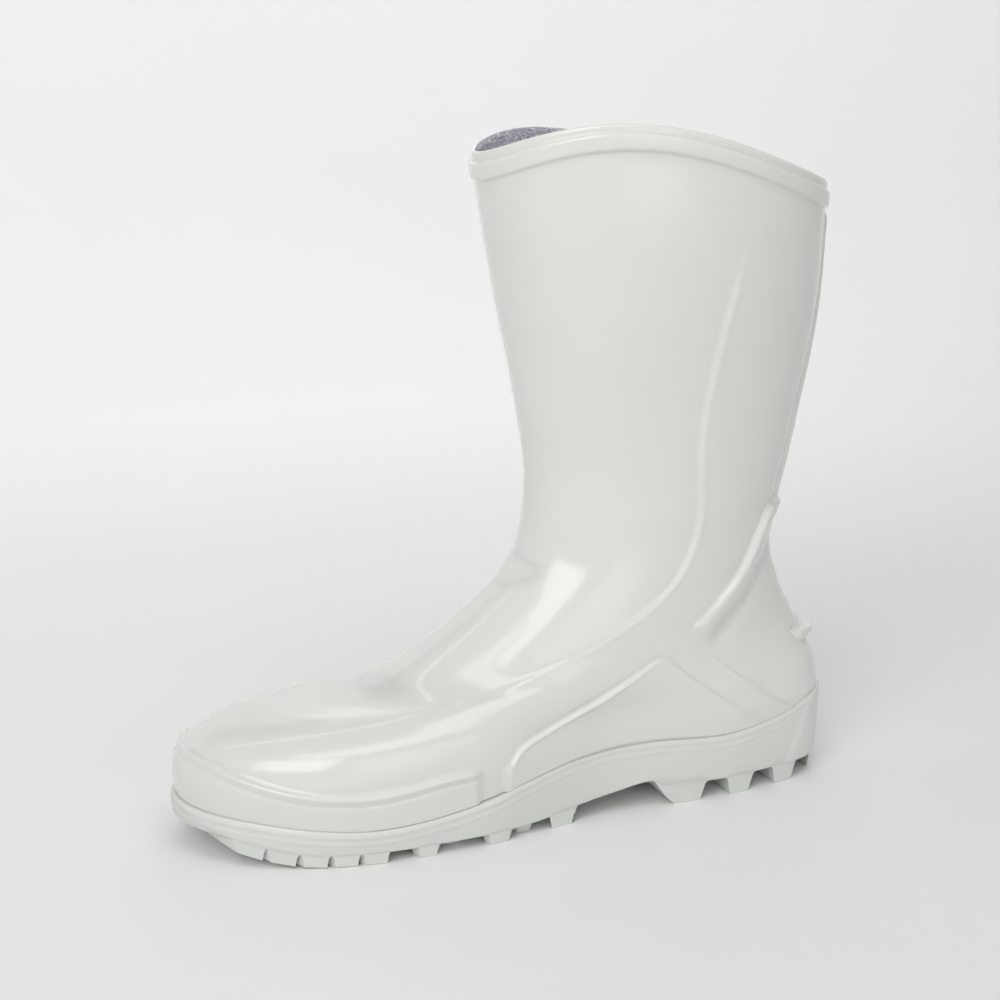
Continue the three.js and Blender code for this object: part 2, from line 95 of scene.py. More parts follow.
# Side lines: share of LENGTH, seam between upper and outsole, floor under the insole, both as shares
# of HEEL_HEIGHT.
SOLE_LINES = np.array([
    (0, 1.36, 0.83), (0.05, 1.3, 0.83), (0.1, 1.15, 0.83), (0.15, 1.05, 0.83),
    (0.22, 0.98, 0.83), (0.33, 1.04, 0.83), (0.45, 1, 0.74), (0.53, 0.85, 0.6),
    (0.6, 0.68, 0.46), (0.68, 0.55, 0.39), (0.76, 0.5, 0.37), (0.84, 0.56, 0.41),
    (0.92, 0.66, 0.51), (1, 0.73, 0.59),
])

# Lines of the moulded steps in the side view: x as shares of LENGTH, z of INSTEP_HEIGHT.
RAND_TOP = np.array([
    (0.6, 0.33), (0.66, 0.32), (0.71, 0.3), (0.77, 0.287), (0.83, 0.3),
    (0.88, 0.325), (0.93, 0.365), (0.97, 0.405), (1.02, 0.425),
])
CHEVRON = np.array([
    (0.572, 0.1), (0.57, 0.26), (0.561, 0.335), (0.544, 0.385), (0.5, 0.432), (0.421, 0.514),
    (0.353, 0.6), (0.332, 0.632), (0.306, 0.628), (0.278, 0.565), (0.2, 0.4), (0.145, 0.28),
    (0.145, 0.1),
])
COUNTER = np.array([
    (0.06, 0.32), (0.09, 0.345), (0.125, 0.395), (0.16, 0.465), (0.19, 0.525), (0.219, 0.59),
])
WING = np.array([
    (0.04, 1.235), (0.09, 1.225), (0.125, 1.2), (0.145, 1.12), (0.163, 1.035), (0.185, 0.943),
    (0.216, 0.864), (0.243, 0.8), (0.272, 0.735),
])
QUARTER = np.array([
    (0.2, 2.5), (0.215, 2.33), (0.228, 2.17), (0.243, 1.97), (0.254, 1.76), (0.261, 1.56),
    (0.259, 1.35), (0.258, 1.22), (0.268, 1.1), (0.293, 0.97), (0.335, 0.865), (0.4, 0.765),
    (0.485, 0.665), (0.575, 0.585), (0.66, 0.53),
])

COLLAR = len(FOOT) + len(SHAFT) - 1  # level of the rim; levels count the rings from 0
BAND_FOOT = COLLAR - 1

UPPER_COLUMNS = 440
RING_COLUMNS = 720  # points of a ring that is only measured
WING_TOP_LEVEL = 10.7
RAND_REAR = 183
STRIP_HALF = 15
STRIP_FOOT = 131
SPUR_HEIGHT = 64
SPUR_RADIUS = 22
SPUR_CENTRE = 23
SPUR_HALF_WIDTH = 20.5
SPUR_ROOT = 2.2  # how far it reaches into the wall

# Profile of the collar band and lip: share of the way from the band's foot to the rim, and offset.
BAND_PROFILE = np.array([
    (-0.05, 0), (-0.02, 0.1), (0, 0.45), (0.02, 1), (0.05, 1.35), (0.1, 1.5), (0.2, 1.56),
    (0.32, 1.58), (0.44, 1.54), (0.52, 1.4), (0.555, 1.1), (0.575, 0.6), (0.59, 0.15), (0.62, -0.1),
    (0.7, -0.15), (0.8, -0.15), (0.9, -0.2), (0.96, -0.4), (0.99, -0.75), (1, -1.2),
])

# Section of the spur: share of the way from inside the wall to the rim, and height over its middle.
SPUR_PROFILE = np.array([
    (0, 4.2), (0.2, 3.7), (0.27, 3.15), (0.4, 2.95), (0.6, 2.9), (0.8, 2.9), (0.9, 2.85), (0.96, 2.6),
    (0.99, 2.1), (1, 1.4), (0.99, 0.6), (0.95, -0.2), (0.86, -1.2), (0.72, -2.5), (0.55, -4),
    (0.4, -5.4), (0.28, -6.8), (0.2, -8.2), (0.1, -9.4), (0, -9.6),
])


def follow(table, at):
    """The columns of a table at places between its rows: a smooth curve through the rows, whose
    first column is the place, with the slope at a row taken from the rows on both sides of it."""
    place, values = table[:, 0], table[:, 1:]
    last = len(table) - 1
    after = np.minimum(np.arange(last + 1) + 1, last)
    before = np.maximum(np.arange(last + 1) - 1, 0)
    slope = (values[after] - values[before]) / (place[after] - place[before])[:, None]
    at = np.clip(at, place[0], place[-1])
    i = np.clip(np.searchsorted(place, at, side="right") - 1, 0, last - 1)
    span = (place[i + 1] - place[i])[..., None]
    s = (at - place[i])[..., None] / span
    start, rise = values[i], values[i + 1] - values[i]
    bend, leave = slope[i] * span, slope[i + 1] * span
    curve = start + bend * s + (3 * rise - 2 * bend - leave) * s**2 + (bend + leave - 2 * rise) * s**3
    return np.moveaxis(curve, -1, 0)


def rings():
    """Both tables of rings in millimetres, one row for each level."""
    foot = FOOT * (LENGTH, INSTEP_HEIGHT, LENGTH, INSTEP_HEIGHT, BALL_WIDTH / 2, 1)
    middle, length, width, front, back, arch = SHAFT.T
    half = (ANKLE_LENGTH + (COLLAR_LENGTH - ANKLE_LENGTH) * length) / 2
    rise = HEIGHT - INSTEP_HEIGHT
    shaft = np.stack([
        middle * COLLAR_CENTRE + half,
        INSTEP_HEIGHT + rise * front,
        middle * COLLAR_CENTRE - half,
        INSTEP_HEIGHT + rise * back,
        (ANKLE_WIDTH + (COLLAR_WIDTH - ANKLE_WIDTH) * width) / 2,
        0 * arch,
        arch * COLLAR_ARCH,
    ], axis=1)
    foot = np.column_stack([foot, np.zeros(len(foot))])
    both = np.vstack([foot, shaft])
    return np.column_stack([np.arange(len(both)), both])


RINGS = rings()


def swing(x):
    """How far the middle of the foot lies to the left at x: it curves to the inner side ahead of the
    middle with the square of the way."""
    return -TOE_SWING * np.maximum(0, 2 * x / LENGTH - 1) ** 2


def outline(angle):
    """Half width of the foot as a factor on an ellipse, outer side where the angle's sine is positive."""
    outer, inner = follow(OUTLINE, (1 - np.cos(angle)) / 2)
    return np.where(np.sin(angle) < 0, inner, outer)


def last(level, angle):
    """A point of the last: each ring runs from its front point to its back point with the cosine of
    the angle, and its width with the sine, times the outline of the foot where the ring has it."""
    level, angle = np.broadcast_arrays(level, angle)
    front_x, front_z, back_x, back_z, width, foot, arch = follow(RINGS, level)
    share = (1 - np.cos(angle)) / 2
    x = front_x + (back_x - front_x) * share
    z = front_z + (back_z - front_z) * share
    z = z + arch * np.sin(angle) ** 2 * (1 + COLLAR_LEAN * np.cos(angle))
    y = width * np.sin(angle) * (1 + (outline(angle) - 1) * foot) + swing(x)
    return np.stack([x, y, z], axis=-1)


def skin(level, angle, offset):
    """A point of the last moved out along its normal, the cross product of the way round and up."""
    step = 0.02
    up = last(np.minimum(level + step, COLLAR), angle) - last(np.maximum(level - step, 0), angle)
    way_round = last(level, angle + step) - last(level, angle - step)
    normal = np.cross(way_round, up)
    normal /= np.linalg.norm(normal, axis=-1, keepdims=True)
    return last(level, angle) + normal * np.asarray(offset)[..., None]


def smooth(t):
    """0 below 0, 1 above 1, and 3t^2 - 2t^3 between."""
    t = np.clip(t, 0, 1)
    return t * t * (3 - 2 * t)


def hump(distance, width):
    """A soft ridge: e to the power of minus the square of distance over width."""
    return np.exp(-((distance / width) ** 2))


def seam(x):
    """Height of the seam between upper and outsole at x."""
    return follow(SOLE_LINES, x / LENGTH)[0] * HEEL_HEIGHT


def side_line(table, steps=80):
    """A table's side line in millimetres, as a smooth curve through its rows with even steps."""
    rows = np.column_stack([np.arange(len(table)), table * (LENGTH, INSTEP_HEIGHT)])
    return follow(rows, np.linspace(0, len(table) - 1, steps)).T


def beside(x, z, line):
    """Distance from a line in the side view, positive to the right of its direction, and the share
    of its length at which the nearest place lies."""
    parts = np.diff(line, axis=0)
    lengths = np.hypot(*parts.T)
    begun = np.concatenate([[0], np.cumsum(lengths)])
    nearest = np.full(x.shape, np.inf)
    signed, share = np.zeros(x.shape), np.zeros(x.shape)
    for start, part, length, way in zip(line, parts, lengths, begun):
        px, pz = x - start[0], z - start[1]
        t = np.clip((px * part[0] + pz * part[1]) / length**2, 0, 1)
        far = np.hypot(px - t * part[0], pz - t * part[1])
        side = np.where(px * part[1] - pz * part[0] >= 0, 1, -1)
        closer = far < nearest
        nearest = np.where(closer, far, nearest)
        signed = np.where(closer, far * side, signed)
        share = np.where(closer, (way + t * length) / begun[-1], share)
    return signed, share


def within(x, z, line):
    """Distance to a closed line in the side view, positive inside it: the sign is from how often a
    level ray to the front crosses the line."""
    closed = np.vstack([line, line[:1]])
    distance = np.abs(beside(x, z, closed)[0])
    crossings = np.zeros(x.shape, int)
    for (ax, az), (bx, bz) in zip(closed[:-1], closed[1:]):
        if az == bz:
            continue
        spans = (az > z) != (bz > z)
        crossings += spans & (x < ax + (z - az) * (bx - ax) / (bz - az))
    return np.where(crossings % 2 == 1, distance, -distance)


def level_at(height, angle, offset=0.0):
    """The level at which each column of the skin meets a height that depends on x, by halving."""
    low, high = np.zeros(angle.shape), np.full(angle.shape, 12.0)
    for _ in range(24):
        middle = (low + high) / 2
        point = skin(middle, angle, np.full(angle.shape, offset))
        below = point[..., 2] < height(point[..., 0])
        low, high = np.where(below, middle, low), np.where(below, high, middle)
    return (low + high) / 2


def step_line(x):
    """Height of the upper edge of rand and chevron at x, at least a little above the seam."""
    top = np.interp(x, *side_line(RAND_TOP).T)
    chevron = side_line(CHEVRON)[::-1]
    edge = chevron[(chevron[:, 1] > 30) & (chevron[:, 0] < 170)]
    raised = np.interp(x, edge[:, 0], edge[:, 1])
    blend = smooth((x - 165) / 14)
    return np.maximum(raised * (1 - blend) + top * blend, seam(x) + 7)


def relief(point, level, angle):
    """How far the moulded steps stand out: each is a soft step on its side line's distance, some
    with a bead or hollow along the edge, and they add up."""
    x, y, z = np.moveaxis(point, -1, 0)
    quarter, way = beside(x, z, side_line(QUARTER))
    fade = smooth((way - 0.05) / 0.12) * (1 - smooth((way - 0.8) / 0.2))
    out = 0.8 * smooth((quarter + 1.6) / 3.2) * fade
    out += 0.25 * hump(quarter - 1.6, 1.5) * fade

    chevron = within(x, z, side_line(CHEVRON, 120))
    strength = 0.7 + 0.6 * smooth((x - 90) / 30)
    out += strength * (smooth((chevron + 0.7) / 1.4) + 0.35 * hump(chevron - 1, 0.8))
    out -= 0.25 * hump(chevron + 1.4, 0.8)

    counter = beside(x, z, side_line(COUNTER))[0]
    behind = 1 - smooth((x - 60) / 14)
    shown = behind * (z < 75) * (1 - smooth((chevron + 2) / 3))
    out += (0.55 * smooth((counter + 0.6) / 1.2) + 0.3 * hump(counter - 0.9, 0.8)) * shown

    top = np.interp(x, *side_line(RAND_TOP).T) - z
    rear = x - RAND_REAR
    rand = -np.log(np.exp(-top / 1.5) + np.exp(-np.clip(rear, -60, 60) / 1.5)) * 1.5
    out += 1.7 * smooth((rand + 0.8) / 1.6) + 0.5 * hump(top - 1.4, 1) * smooth(rear / 3)
    out -= 0.4 * hump(top - 4.2, 0.8) * smooth(rear / 3)

    wing, way = beside(x, z, side_line(WING))
    fade = 1 - smooth((way - 0.9) / 0.1)
    out += 3 * smooth((wing + 0.8) / 1.6) * (1 - smooth((wing - 1.5) / 14)) * fade
    out -= 1.2 * hump(wing - 13, 4.5) * fade * smooth((way - 0.25) / 0.2)

    strip = np.minimum(STRIP_HALF - np.abs(y), z - STRIP_FOOT)
    strip = np.where(x < COLLAR_CENTRE, strip, -STRIP_HALF)
    under_band = 1 - smooth((level - BAND_FOOT + 0.04) / 0.05)
    out += (1.4 * smooth((strip + 0.6) / 1.2) - 0.4 * hump(strip + 1.4, 0.7)) * under_band

    flex = hump(x - 210, 12) * (1 - smooth((np.abs(y) - 25) / 20)) * smooth((z - 45) / 10)
    bend = hump(level - 9, 0.7) * np.maximum(np.cos(angle), 0) ** 3
    out -= 0.35 * flex + 0.2 * bend
    ripple = np.sin(2.3 * level + 3 * angle) * np.sin(1.7 * level - 2 * angle + 1)
    return out + 0.12 * ripple


def mesh_object(name, points, faces):
    """A smooth object from points in millimetres and faces of point numbers, moved so that the
    middle of the boot's length lies at x = 0."""
    mesh = bpy.data.meshes.new(name)
    mesh.from_pydata(((points - (MIDDLE, 0, 0)) * 0.001).tolist(), [], faces.tolist())
    mesh.polygons.foreach_set("use_smooth", np.ones(len(mesh.polygons), bool))
    mesh.update()
    made = bpy.data.objects.new(name, mesh)
    bpy.context.scene.collection.objects.link(made)
    return made


def grid_faces(rows, columns, start=0, closed=False):
    """Quads between neighbouring rows of a grid whose columns go round; closed joins the last row to
    the first."""
    row = np.arange(rows if closed else rows - 1)[:, None]
    column = np.arange(columns)[None, :]
    below, above = row * columns, (row + 1) % rows * columns
    right = (column + 1) % columns
    quads = np.stack([below + column, below + right, above + right, above + column], axis=-1)
    return quads.reshape(-1, 4) + start


def joined(name, grids):
    """One object from several grids, each a triple of points, closed and turned: closed joins the
    last row to the first, and turned faces the grid the other way."""
    points, faces, count = [], [], 0
    for grid, closed, turned in grids:
        quads = grid_faces(grid.shape[0], grid.shape[1], count, closed)
        faces.append(quads[:, ::-1] if turned else quads)
        points.append(grid.reshape(-1, 3))
        count += points[-1].shape[0]
    return mesh_object(name, np.vstack(points), np.vstack(faces))


def merged(made, distance=2e-6):
    """Merges the doubled points of an object, which closes its seams and poles."""
    work = bmesh.new()
    work.from_mesh(made.data)
    bmesh.ops.remove_doubles(work, verts=work.verts, dist=distance)
    bmesh.ops.dissolve_degenerate(work, edges=work.edges, dist=distance)
    work.to_mesh(made.data)
    work.free()
    return made


def turns(count):
    """Angles round a ring, from the front over the left side."""
    return np.linspace(0, 2 * np.pi, count, endpoint=False)


def upper_shell():
    """The shell as a tube: rows rise outside from the seam over the step line, the top of the wings
    and the band to the rim, and go down again inside the wall."""
    angle = turns(UPPER_COLUMNS)
    edge = level_at(lambda x: seam(x) + GAP / 2, angle)
    steps = np.maximum(level_at(step_line, angle), edge + 0.1)
    stops = [edge, steps, np.full(angle.shape, WING_TOP_LEVEL), np.full(angle.shape, BAND_FOOT - 0.08)]
    levels = [
        low + (high - low) * np.linspace(0, 1, count, endpoint=False)[:, None]
        for low, high, count in zip(stops[:-1], stops[1:], (40, 92, 46))
    ]
    levels = np.vstack(levels)
    angles = np.broadcast_to(angle, levels.shape)
    out = relief(last(levels, angles), levels, angles)
    wall = skin(levels, angles, out)
    share, offset = BAND_PROFILE.T
    levels = np.broadcast_to((BAND_FOOT + share)[:, None], (len(share), UPPER_COLUMNS))
    angles = np.broadcast_to(angle, levels.shape)
    band = skin(levels, angles, offset[:, None])
    inner_edge = level_at(lambda x: seam(x) + GAP / 2, angle, -WALL)
    drop = np.concatenate([[0, 0.01, 0.04, 0.1], np.linspace(0.2, 1, 11) ** 1.3])[:, None]
    levels = COLLAR - (COLLAR - inner_edge) * drop
    rounding = np.concatenate([[0.75, 0.92, 1], np.ones(12)])[:, None] * -WALL
    inside = skin(levels, np.broadcast_to(angle, levels.shape), rounding)
    return np.concatenate([wall, band, inside])


def spur():
    """The kick-off spur: a shelf between the heel's wall and a circle in plan. Each section goes out
    over the flat top, round the rim, and slopes back down to the wall."""
    y = SPUR_HALF_WIDTH * np.sin(np.linspace(-np.pi / 2, np.pi / 2, 61))
    circle = SPUR_CENTRE - np.sqrt(SPUR_RADIUS**2 - y**2)
    angle = turns(RING_COLUMNS)
    ring = skin(level_at(lambda x: 0 * x + SPUR_HEIGHT, angle), angle, np.zeros(RING_COLUMNS))
    back = ring[ring[:, 0] < COLLAR_CENTRE]
    back = back[np.argsort(back[:, 1])]
    wall = np.interp(y, back[:, 1], back[:, 0])
    reach = np.maximum(wall - circle, 0.2)
    share, height = SPUR_PROFILE.T
    x = wall[:, None] + SPUR_ROOT - (reach[:, None] + SPUR_ROOT) * share
    z = SPUR_HEIGHT + height * smooth(reach / 2.5)[:, None] + 0 * x
    return np.stack([x, np.broadcast_to(y[:, None], x.shape), z], axis=-1)


def spur_cap(end):
    """The section at one end of the spur drawn together to its middle, which closes it."""
    return np.broadcast_to(end.mean(axis=0), end.shape)


spur_rows = spur()
spur_grid = np.concatenate([spur_cap(spur_rows[0])[None], spur_rows, spur_cap(spur_rows[-1])[None]])
upper = merged(joined("upper_shell", [(upper_shell(), True, False), (spur_grid, False, True)]))
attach(upper, "root")
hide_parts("upper")


def effect_group(name, inputs, outputs):
    """An empty node group with named inputs, each a triple of name, kind and value, and outputs."""
    group = bpy.data.node_groups.new(name, "ShaderNodeTree")
    for label, kind, value in inputs:
        socket = group.interface.new_socket(label, in_out="INPUT", socket_type=kind)
        socket.default_value = value
    for label, kind in outputs:
        group.interface.new_socket(label, in_out="OUTPUT", socket_type=kind)
    return group, group.nodes.new("NodeGroupInput"), group.nodes.new("NodeGroupOutput")


def feed(links, value, socket):
    """Gives a socket its value, which is another socket or a constant."""
    if isinstance(value, bpy.types.NodeSocket):
        links.new(value, socket)
    else:
        socket.default_value = value


def noise(nodes, links, place, scale, detail):
    """A noise texture on a place, whose scale is a socket or a number."""
    node = nodes.new("ShaderNodeTexNoise")
    node.inputs["Detail"].default_value = detail
    links.new(place, node.inputs["Vector"])
    feed(links, scale, node.inputs["Scale"])
    return node.outputs["Fac"]


def blend_colours(nodes, links, factor, first, second):
    """A mix of two colours, each a socket or a value, by a factor."""
    node = nodes.new("ShaderNodeMix")
    node.data_type = "RGBA"
    links.new(factor, node.inputs["Factor"])
    for label, value in (("A", first), ("B", second)):
        socket = next(s for s in node.inputs if s.name == label and s.type == "RGBA")
        feed(links, value, socket)
    return next(s for s in node.outputs if s.type == "RGBA")


def ranged(nodes, links, value, low, high, to_low, to_high):
    """A value carried from one range to another and kept within it."""
    node = nodes.new("ShaderNodeMapRange")
    links.new(value, node.inputs["Value"])
    for label, number in zip(("From Min", "From Max", "To Min", "To Max"), (low, high, to_low, to_high)):
        node.inputs[label].default_value = number
    return node.outputs["Result"]


def moulded_pvc_group():
    """Moulded PVC: the colour drifts between two whites over some centimetres, roughness between
    two values, and the height has the faint flow ripple and fine grain of the mould."""
    group, given, put = effect_group(
        "moulded_pvc",
        [
            ("Light", "NodeSocketColor", (1, 1, 1, 1)),
            ("Shade", "NodeSocketColor", (0.9, 0.9, 0.9, 1)),
            ("Drift scale", "NodeSocketFloat", 14),
            ("Grain scale", "NodeSocketFloat", 900),
            ("Ripple scale", "NodeSocketFloat", 60),
        ],
        [("Color", "NodeSocketColor"), ("Roughness mask", "NodeSocketFloat"), ("Height", "NodeSocketFloat")],
    )
    nodes, links = group.nodes, group.links
    place = nodes.new("ShaderNodeTexCoord").outputs["Object"]
    drift = noise(nodes, links, place, given.outputs["Drift scale"], 3)
    factor = ranged(nodes, links, drift, 0.05, 0.95, 0, 1)
    colour = blend_colours(nodes, links, factor, given.outputs["Light"], given.outputs["Shade"])
    links.new(colour, put.inputs["Color"])
    links.new(factor, put.inputs["Roughness mask"])
    grain = noise(nodes, links, place, given.outputs["Grain scale"], 2)
    ripple = noise(nodes, links, place, given.outputs["Ripple scale"], 1)
    add = nodes.new("ShaderNodeMath")
    add.operation = "MULTIPLY_ADD"
    links.new(grain, add.inputs[0])
    add.inputs[1].default_value = 0.12
    links.new(ripple, add.inputs[2])
    links.new(add.outputs[0], put.inputs["Height"])
    return group


MOULDED_PVC = moulded_pvc_group()


def moulded_pvc(name, light, shade, rough, coat, depth, grain=900):
    """A material of moulded PVC: light and shade are its two whites, rough the two ends of its
    roughness, coat the weight of its gloss and depth the height of its ripple in metres."""
    material = bpy.data.materials.new(name)
    material.use_nodes = True
    nodes, links = material.node_tree.nodes, material.node_tree.links
    shader = nodes["Principled BSDF"]
    effect = nodes.new("ShaderNodeGroup")
    effect.node_tree = MOULDED_PVC
    effect.inputs["Light"].default_value = (*light, 1)
    effect.inputs["Shade"].default_value = (*shade, 1)
    effect.inputs["Grain scale"].default_value = grain
    bump = nodes.new("ShaderNodeBump")
    bump.inputs["Distance"].default_value = depth
    bump.inputs["Strength"].default_value = 0.5
    links.new(effect.outputs["Height"], bump.inputs["Height"])
    links.new(bump.outputs["Normal"], shader.inputs["Normal"])
    links.new(effect.outputs["Color"], shader.inputs["Base Color"])
    mask = ranged(nodes, links, effect.outputs["Roughness mask"], 0, 1, *rough)
    links.new(mask, shader.inputs["Roughness"])
    shader.inputs["Coat Weight"].default_value = coat
    shader.inputs["Coat Roughness"].default_value = 0.08
    shader.inputs["Coat IOR"].default_value = 1.4
    shader.inputs["Specular IOR Level"].default_value = 0.4
    shader.inputs["Subsurface Weight"].default_value = 0.12
    shader.inputs["Subsurface Radius"].default_value = (0.003, 0.003, 0.0026)
    shader.inputs["Subsurface Scale"].default_value = 1
    return material


upper.data.materials.append(
    moulded_pvc("white_pvc", (0.74, 0.76, 0.71), (0.7, 0.72, 0.675), (0.2, 0.28), 0.7, 0.00035)
)

# Lining: a thin knitted sock of grey-violet and white yarn that the shell is moulded over, so that it
# is bonded to the wall from the footbed to the rim, where its cut edge shows.
LINING_COLUMNS = 240
LINING_ROWS = 90
LINING_THICK = 0.9
LINING_UV = (0.42, 0.42)  # metres round and along that its UV map gives it


def floor_under(x):
    """Height of the outsole's inner floor at x."""
    return follow(SOLE_LINES, x / LENGTH)[1] * HEEL_HEIGHT


def lining_sock():
    """The sock as a tube: rows go down its inner face from the rim to below the footbed, and up its
    outer face on the wall."""
    angle = turns(LINING_COLUMNS)
    foot = level_at(lambda x: floor_under(x) + 1.5, angle, -WALL - LINING_THICK)
    inner = COLLAR - 0.005 - (COLLAR - 0.005 - foot) * np.linspace(0, 1, LINING_ROWS)[:, None]
    outer = inner[::-1]
    levels = np.vstack([inner, outer])
    offset = np.concatenate([
        np.full(len(inner), -WALL - LINING_THICK),
        np.full(len(outer), -WALL - 0.02),
    ])
    offset[0] = -WALL - 0.6 * LINING_THICK
    return skin(levels, np.broadcast_to(angle, levels.shape), offset[:, None])


def add_uv(made, columns, rows, width, length):
    """Gives a grid object a UV map in metres along its columns and rows, by each corner's number."""
    layer = made.data.uv_layers.new(name="UVMap")
    corners = np.zeros(len(made.data.loops), np.int64)
    made.data.loops.foreach_get("vertex_index", corners)
    column, row = corners % columns, corners // columns
    quad = column.reshape(-1, 4)
    wraps = (quad.max(axis=1) - quad.min(axis=1) > 1)[:, None] & (quad == 0)
    u = np.where(wraps, columns, quad).reshape(-1) / columns * width
    layer.data.foreach_set("uv", np.column_stack([u, row / rows * length]).ravel())


lining = joined("lining_sock", [(lining_sock(), True, True)])
add_uv(lining, LINING_COLUMNS, LINING_ROWS, *LINING_UV)
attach(lining, "root")


def yarn_group():
    """Knit or felt: cells on the UV map, so many in a metre across and along, each in one of three
    colours of yarn by its random number. The height grows with the distance from a cell's middle."""
    group, given, put = effect_group(
        "yarn",
        [
            ("Main", "NodeSocketColor", (0.5, 0.5, 0.5, 1)),
            ("Dark", "NodeSocketColor", (0.3, 0.3, 0.3, 1)),
            ("Light", "NodeSocketColor", (0.8, 0.8, 0.8, 1)),
            ("Stitches", "NodeSocketVector", (1000, 1000, 1)),
        ],
        [("Color", "NodeSocketColor"), ("Height", "NodeSocketFloat")],
    )
    nodes, links = group.nodes, group.links
    uv = nodes.new("ShaderNodeUVMap")
    uv.uv_map = "UVMap"
    place = nodes.new("ShaderNodeMapping")
    links.new(given.outputs["Stitches"], place.inputs["Scale"])
    links.new(uv.outputs["UV"], place.inputs["Vector"])
    cells = nodes.new("ShaderNodeTexVoronoi")
    cells.inputs["Scale"].default_value = 1
    cells.inputs["Randomness"].default_value = 0.55
    links.new(place.outputs["Vector"], cells.inputs["Vector"])
    speckle = nodes.new("ShaderNodeSeparateColor")
    links.new(cells.outputs["Color"], speckle.inputs["Color"])
    dark = ranged(nodes, links, speckle.outputs["Red"], 0.35, 0.75, 0, 1)
    mixed = blend_colours(nodes, links, dark, given.outputs["Main"], given.outputs["Dark"])
    light = ranged(nodes, links, speckle.outputs["Green"], 0.8, 0.95, 0, 1)
    links.new(blend_colours(nodes, links, light, mixed, given.outputs["Light"]), put.inputs["Color"])
    links.new(cells.outputs["Distance"], put.inputs["Height"])
    return group


YARN = yarn_group()


def cloth(name, colours, stitches, depth, rough):
    """A material of yarn: its three colours, the count of stitches in a metre across and along, the
    depth of a stitch in metres and the roughness."""
    material = bpy.data.materials.new(name)
    material.use_nodes = True
    nodes, links = material.node_tree.nodes, material.node_tree.links
    shader = nodes["Principled BSDF"]
    effect = nodes.new("ShaderNodeGroup")
    effect.node_tree = YARN
    for label, colour in zip(("Main", "Dark", "Light"), colours):
        effect.inputs[label].default_value = (*colour, 1)
    effect.inputs["Stitches"].default_value = (*stitches, 1)
    bump = nodes.new("ShaderNodeBump")
    bump.invert = True
    bump.inputs["Distance"].default_value = depth
    bump.inputs["Strength"].default_value = 0.8
    links.new(effect.outputs["Height"], bump.inputs["Height"])
    links.new(bump.outputs["Normal"], shader.inputs["Normal"])
    links.new(effect.outputs["Color"], shader.inputs["Base Color"])
    shader.inputs["Roughness"].default_value = rough
    shader.inputs["Sheen Weight"].default_value = 0.25
    return material


KNIT_COLOURS = ((0.56, 0.56, 0.61), (0.34, 0.34, 0.4), (0.82, 0.82, 0.85))
lining.data.materials.append(cloth("knitted_sock", KNIT_COLOURS, (900, 700), 0.0005, 0.9))

# Outsole: the second shot of the mould, white PVC in a satin finish. It has a side with a double
# bead under the seam, deep heel lugs, six-sided forefoot studs and bowed toe bars.
SOLE_COLUMNS = 360
SOLE_EDGE = 1
TOE_SPRING = 16
LUG_DEPTH = 9
STUD_DEPTH = 5
LUG_LENGTH = 13
LUG_PITCH = 25
NOTCH_DRAFT = 1.5
HEEL_BREAST = 97
BREAST_LEAN = 8
REAR_LUG = 11
HEEL_CHANNEL = 26
HEX_LUG = 8
HEX_LUGS_AT = (30, 63)
STUD_RADIUS = 6.6
STUD_DRAFT = 1
STUD_PITCH = 17.5
STUD_ROW_PITCH = 15.7
STUD_FROM = 149
STUD_ROWS = 5
STUDS_ACROSS = 6
STUD_BOW = 0.0035
STUD_OUTSIDE = 1  # how far the middle of a stud may lie past the side
BAR_LENGTH = 8
BAR_PITCH = 12
BAR_BOW = 14
BAR_FROM = 237
BAR_COUNT = 5
BAR_STOP = 3  # how far behind the tip of the toe the foremost bar ends
EDGE_ANGLE = 40  # edges of the tread that turn by more degrees than this stay crisp
LINE_POINTS = 41  # points of a line along a bar
SIDE_INSET = 0.15  # how far the tread lies inside the side, and at the ground
FOOT_INSET = 0.6
RING_RADIUS = 4.6
RING_PLACES = ((127, 24), (123, -20))

# Rise of the ground line under the toe: share of LENGTH, share of TOE_SPRING.
SPRING = np.array([(0.78, 0), (0.84, 0.03), (0.88, 0.12), (0.92, 0.3), (0.96, 0.56), (1, 1)])

# Root of the tread: share of LENGTH, share of LUG_DEPTH, share of STUD_DEPTH.
ROOT = np.array([
    (0, 1, 0), (0.3, 1, 0), (0.33, 1.4, 0), (0.39, 1.1, 0), (0.47, 0, 1.35), (0.52, 0, 1), (1, 0, 1),
])

# Draft of the side: height as a share of HEEL_HEIGHT, outset in millimetres.
SOLE_SIDE = np.array([(-0.05, -2.6), (0.15, -1.6), (0.4, -0.3), (0.7, 0.4), (1.7, 1)])


def ground(x):
    """Height of the ground line: flat, then up under the toe."""
    return np.where(x < SPRING[0, 0] * LENGTH, 0, follow(SPRING, x / LENGTH)[0] * TOE_SPRING)


def root(x):
    """Height of the plate's underside, from which the tread stands down."""
    heel, forefoot = follow(ROOT, x / LENGTH)
    return ground(x) + heel * LUG_DEPTH + forefoot * STUD_DEPTH


def draft(z):
    """Outset of the side at a height."""
    return np.interp(z / HEEL_HEIGHT, *SOLE_SIDE.T)


def side_ring(angle, outset):
    """A place on the side in plan: an ellipse times the outline of the foot, grown by outset."""
    share = (1 - np.cos(angle)) / 2
    ends = LENGTH - SOLE_EDGE + outset, SOLE_EDGE - outset
    x = ends[0] + (ends[1] - ends[0]) * share
    y = (BALL_WIDTH / 2 + outset) * np.sin(angle) * outline(angle) + swing(x)
    return x, y


